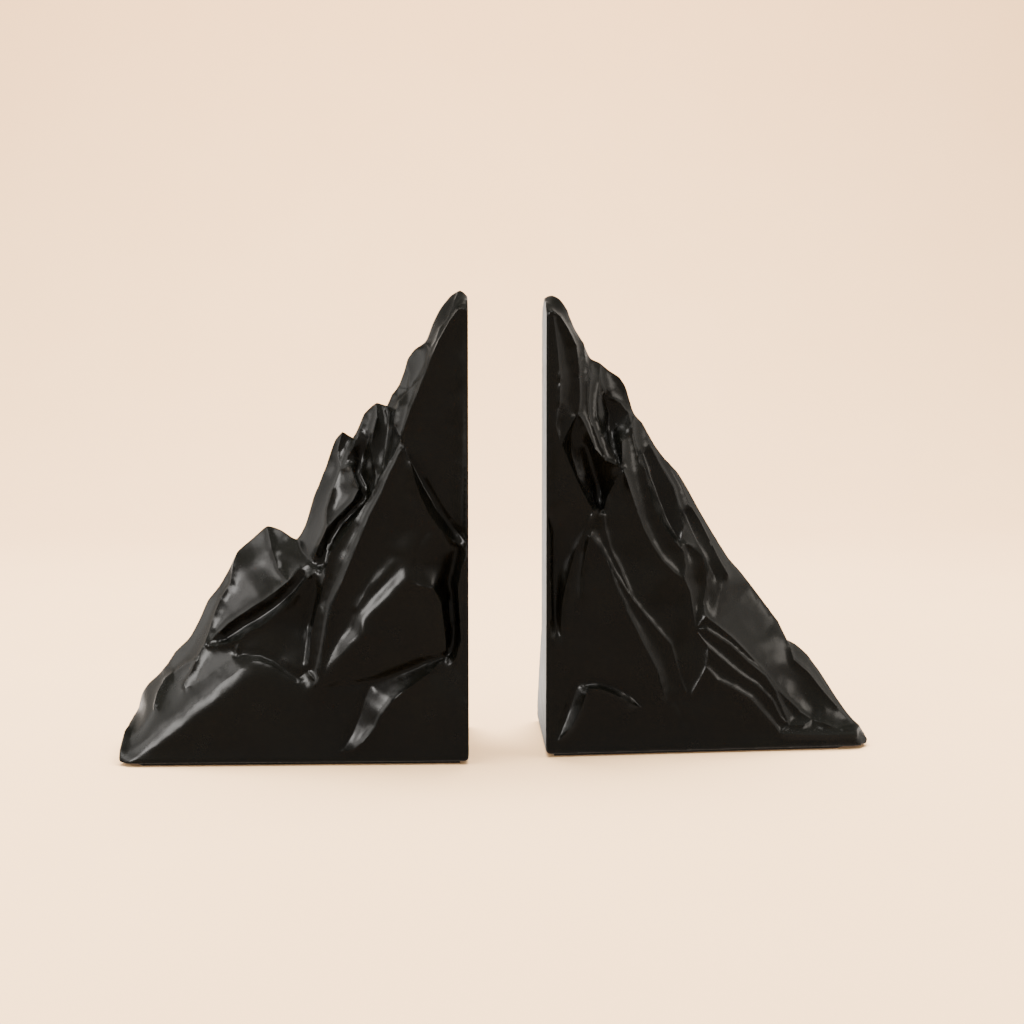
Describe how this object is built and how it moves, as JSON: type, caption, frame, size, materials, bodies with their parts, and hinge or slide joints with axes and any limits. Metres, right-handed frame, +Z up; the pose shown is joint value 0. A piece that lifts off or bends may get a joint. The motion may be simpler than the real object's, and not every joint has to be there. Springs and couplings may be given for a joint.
{
  "type": "book ends",
  "caption": "Pair of sculpted rock-form book ends with flat upright book faces, weighted hollow bodies, screwed base plates and anti-slip pads.",
  "frame": {"origin": "middle of the pair's bounding box on the shelf surface, at the underside of the pads", "axes": "+X to the right along the shelf from the left book end to the right one, +Y towards the back of the shelf, +Z up"},
  "size_m": [0.26, 0.07, 0.16],
  "materials": {
    "rock_finish": "satin-gloss black lacquer on cast resin",
    "ballast": "rough poured cement with iron filler",
    "plate_steel": "rolled sheet, lightly oiled",
    "screw_steel": "zinc-plated",
    "pad_rubber": "matt black foam rubber"
  },
  "bodies": {
    "left_bookend": {"left_rock_shell": "rock_finish", "left_ballast": "ballast", "left_base_plate": "plate_steel", "left_base_screw_1": "screw_steel", "left_base_screw_2": "screw_steel", "left_base_screw_3": "screw_steel", "left_base_screw_4": "screw_steel", "left_anti_slip_pad": "pad_rubber"},
    "right_bookend": {"right_rock_shell": "rock_finish", "right_ballast": "ballast", "right_base_plate": "plate_steel", "right_base_screw_1": "screw_steel", "right_base_screw_2": "screw_steel", "right_base_screw_3": "screw_steel", "right_base_screw_4": "screw_steel", "right_anti_slip_pad": "pad_rubber"}
  },
  "joints": [
    {"name": "right_bookend_slide", "type": "slide", "parent": "left_bookend", "child": "right_bookend", "axis": [1, 0, 0], "range_m": [-0.024, 0.3]}
  ]
}
